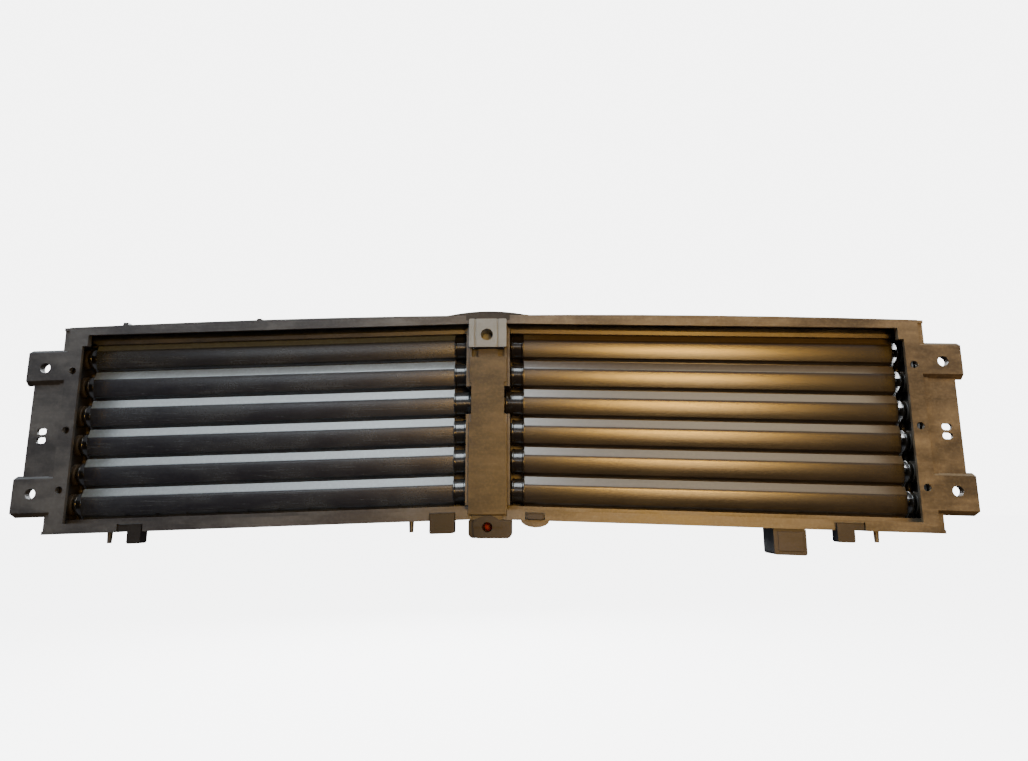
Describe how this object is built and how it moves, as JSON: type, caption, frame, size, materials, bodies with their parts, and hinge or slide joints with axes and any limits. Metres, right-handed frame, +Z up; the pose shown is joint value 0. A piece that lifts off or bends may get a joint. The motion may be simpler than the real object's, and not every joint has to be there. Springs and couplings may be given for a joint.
{
  "type": "active grille shutter",
  "caption": "Motorised radiator shutter: a wide swept frame with two banks of louvre vanes on a centre actuator post, with bolt tabs, link bars and clips.",
  "frame": {"origin": "centre of the bounding box", "axes": "+X along the width to the right, +Y from the front face back towards the radiator, +Z up"},
  "size_m": [0.822, 0.072, 0.2166],
  "materials": {
    "frame_plastic": "moulded black glass-filled plastic, fine grain, dusty and lightly scuffed",
    "vane_plastic": "satin black glass-filled plastic with a dusty bloom on the upper bevel",
    "cover_plastic": "matte brown-black plastic with handling marks",
    "bracket_plastic": "satin light grey moulded face",
    "bearing_plastic": "dark low-friction bearing plastic",
    "link_plastic": "smooth black acetal",
    "gear_acetal": "natural acetal, low sheen",
    "actuator_plastic": "fine-grained black plastic",
    "connector_plastic": "black connector plastic",
    "motor_steel": "drawn steel can",
    "steel": "zinc-plated steel",
    "brass": "turned brass",
    "circuit_board": "green solder mask"
  },
  "bodies": {
    "frame": {"main_frame": "frame_plastic", "post_cover": "cover_plastic", "head_bracket": "bracket_plastic", "lower_foot": "cover_plastic", "locating_foot": "cover_plastic", "clip_left_outer": "cover_plastic", "clip_left_inner": "cover_plastic", "clip_right_inner": "cover_plastic", "clip_right_outer": "cover_plastic", "bearing_strip_left_outer": "bearing_plastic", "bearing_strip_right_outer": "bearing_plastic", "bearing_strip_left_inner": "frame_plastic", "bearing_strip_right_inner": "frame_plastic", "actuator_housing": "actuator_plastic", "actuator_lid": "actuator_plastic", "motor": "motor_steel", "compound_axle": "steel", "circuit_board": "circuit_board", "connector_socket": "connector_plastic", "lid_screw_1": "steel", "lid_screw_2": "steel", "lid_screw_3": "steel", "lid_screw_4": "steel", "mount_screw_1": "steel", "mount_screw_2": "steel"},
    "vane_left_1": {"vane_left_1": "vane_plastic"},
    "vane_left_2": {"vane_left_2": "vane_plastic"},
    "vane_left_3": {"vane_left_3": "vane_plastic"},
    "vane_left_4": {"vane_left_4": "vane_plastic"},
    "vane_left_5": {"vane_left_5": "vane_plastic"},
    "vane_left_6": {"vane_left_6": "vane_plastic"},
    "vane_right_1": {"vane_right_1": "vane_plastic"},
    "vane_right_2": {"vane_right_2": "vane_plastic"},
    "vane_right_3": {"vane_right_3": "vane_plastic"},
    "vane_right_4": {"vane_right_4": "vane_plastic"},
    "vane_right_5": {"vane_right_5": "vane_plastic"},
    "vane_right_6": {"vane_right_6": "vane_plastic"},
    "link_bar_left": {"link_bar_left": "link_plastic"},
    "link_bar_right": {"link_bar_right": "link_plastic"},
    "output_drive": {"output_gear": "gear_acetal", "drive_coupler_left": "gear_acetal", "drive_coupler_right": "gear_acetal"},
    "intermediate_drive": {"compound_gear": "gear_acetal"},
    "rotor": {"motor_pinion": "brass"}
  },
  "joints": [
    {"name": "vane_left_1_turn", "type": "hinge", "parent": "frame", "child": "vane_left_1", "pos_m": [-0.2, 0.00247, 0.07505], "axis": [0.9987, 0.0401, 0.0324], "range_deg": [0, 90]},
    {"name": "vane_left_2_turn", "type": "hinge", "parent": "frame", "child": "vane_left_2", "pos_m": [-0.2, 0.00247, 0.04825], "axis": [0.9987, 0.0401, 0.0324], "range_deg": [0, 90]},
    {"name": "vane_left_3_turn", "type": "hinge", "parent": "frame", "child": "vane_left_3", "pos_m": [-0.2, 0.00247, 0.02144], "axis": [0.9987, 0.0401, 0.0324], "range_deg": [0, 90]},
    {"name": "vane_left_4_turn", "type": "hinge", "parent": "frame", "child": "vane_left_4", "pos_m": [-0.2, 0.00247, -0.00536], "axis": [0.9987, 0.0401, 0.0324], "range_deg": [0, 90]},
    {"name": "vane_left_5_turn", "type": "hinge", "parent": "frame", "child": "vane_left_5", "pos_m": [-0.2, 0.00247, -0.03216], "axis": [0.9987, 0.0401, 0.0324], "range_deg": [0, 90]},
    {"name": "vane_left_6_turn", "type": "hinge", "parent": "frame", "child": "vane_left_6", "pos_m": [-0.2, 0.00247, -0.05896], "axis": [0.9987, 0.0401, 0.0324], "range_deg": [0, 90]},
    {"name": "vane_right_1_turn", "type": "hinge", "parent": "frame", "child": "vane_right_1", "pos_m": [0.2, 0.00247, 0.07505], "axis": [0.9987, -0.0401, -0.0324], "range_deg": [0, 90]},
    {"name": "vane_right_2_turn", "type": "hinge", "parent": "frame", "child": "vane_right_2", "pos_m": [0.2, 0.00247, 0.04825], "axis": [0.9987, -0.0401, -0.0324], "range_deg": [0, 90]},
    {"name": "vane_right_3_turn", "type": "hinge", "parent": "frame", "child": "vane_right_3", "pos_m": [0.2, 0.00247, 0.02144], "axis": [0.9987, -0.0401, -0.0324], "range_deg": [0, 90]},
    {"name": "vane_right_4_turn", "type": "hinge", "parent": "frame", "child": "vane_right_4", "pos_m": [0.2, 0.00247, -0.00536], "axis": [0.9987, -0.0401, -0.0324], "range_deg": [0, 90]},
    {"name": "vane_right_5_turn", "type": "hinge", "parent": "frame", "child": "vane_right_5", "pos_m": [0.2, 0.00247, -0.03216], "axis": [0.9987, -0.0401, -0.0324], "range_deg": [0, 90]},
    {"name": "vane_right_6_turn", "type": "hinge", "parent": "frame", "child": "vane_right_6", "pos_m": [0.2, 0.00247, -0.05896], "axis": [0.9987, -0.0401, -0.0324], "range_deg": [0, 90]},
    {"name": "link_bar_left_swing", "type": "hinge", "parent": "vane_left_3", "child": "link_bar_left", "pos_m": [-0.3733, 0.00301, 0.00102], "axis": [0.9987, 0.0401, 0.0324], "range_deg": [-90, 0]},
    {"name": "link_bar_right_swing", "type": "hinge", "parent": "vane_right_3", "child": "link_bar_right", "pos_m": [0.3733, 0.00301, 0.00102], "axis": [0.9987, -0.0401, -0.0324], "range_deg": [-90, 0]},
    {"name": "output_drive_turn", "type": "hinge", "parent": "frame", "child": "output_drive", "pos_m": [0, 0.00974, 0.02732], "axis": [1, 0, 0], "range_deg": [0, 90]},
    {"name": "intermediate_drive_turn", "type": "hinge", "parent": "frame", "child": "intermediate_drive", "pos_m": [0, 0.00974, 0.00632], "axis": [1, 0, 0], "range_deg": [-360, 0]},
    {"name": "rotor_turn", "type": "hinge", "parent": "frame", "child": "rotor", "pos_m": [0, 0.00974, -0.00968], "axis": [1, 0, 0], "range_deg": [0, 1560]}
  ],
  "couplings": [
    {"joint": "vane_left_1_turn", "follows": "vane_left_3_turn", "ratio": 1},
    {"joint": "vane_left_2_turn", "follows": "vane_left_3_turn", "ratio": 1},
    {"joint": "vane_left_4_turn", "follows": "vane_left_3_turn", "ratio": 1},
    {"joint": "vane_left_5_turn", "follows": "vane_left_3_turn", "ratio": 1},
    {"joint": "vane_left_6_turn", "follows": "vane_left_3_turn", "ratio": 1},
    {"joint": "vane_right_1_turn", "follows": "vane_left_3_turn", "ratio": 1},
    {"joint": "vane_right_2_turn", "follows": "vane_left_3_turn", "ratio": 1},
    {"joint": "vane_right_3_turn", "follows": "vane_left_3_turn", "ratio": 1},
    {"joint": "vane_right_4_turn", "follows": "vane_left_3_turn", "ratio": 1},
    {"joint": "vane_right_5_turn", "follows": "vane_left_3_turn", "ratio": 1},
    {"joint": "vane_right_6_turn", "follows": "vane_left_3_turn", "ratio": 1},
    {"joint": "link_bar_left_swing", "follows": "vane_left_3_turn", "ratio": -1},
    {"joint": "link_bar_right_swing", "follows": "vane_left_3_turn", "ratio": -1},
    {"joint": "output_drive_turn", "follows": "vane_left_3_turn", "ratio": 1},
    {"joint": "intermediate_drive_turn", "follows": "vane_left_3_turn", "ratio": -4},
    {"joint": "rotor_turn", "follows": "vane_left_3_turn", "ratio": 17.333}
  ]
}
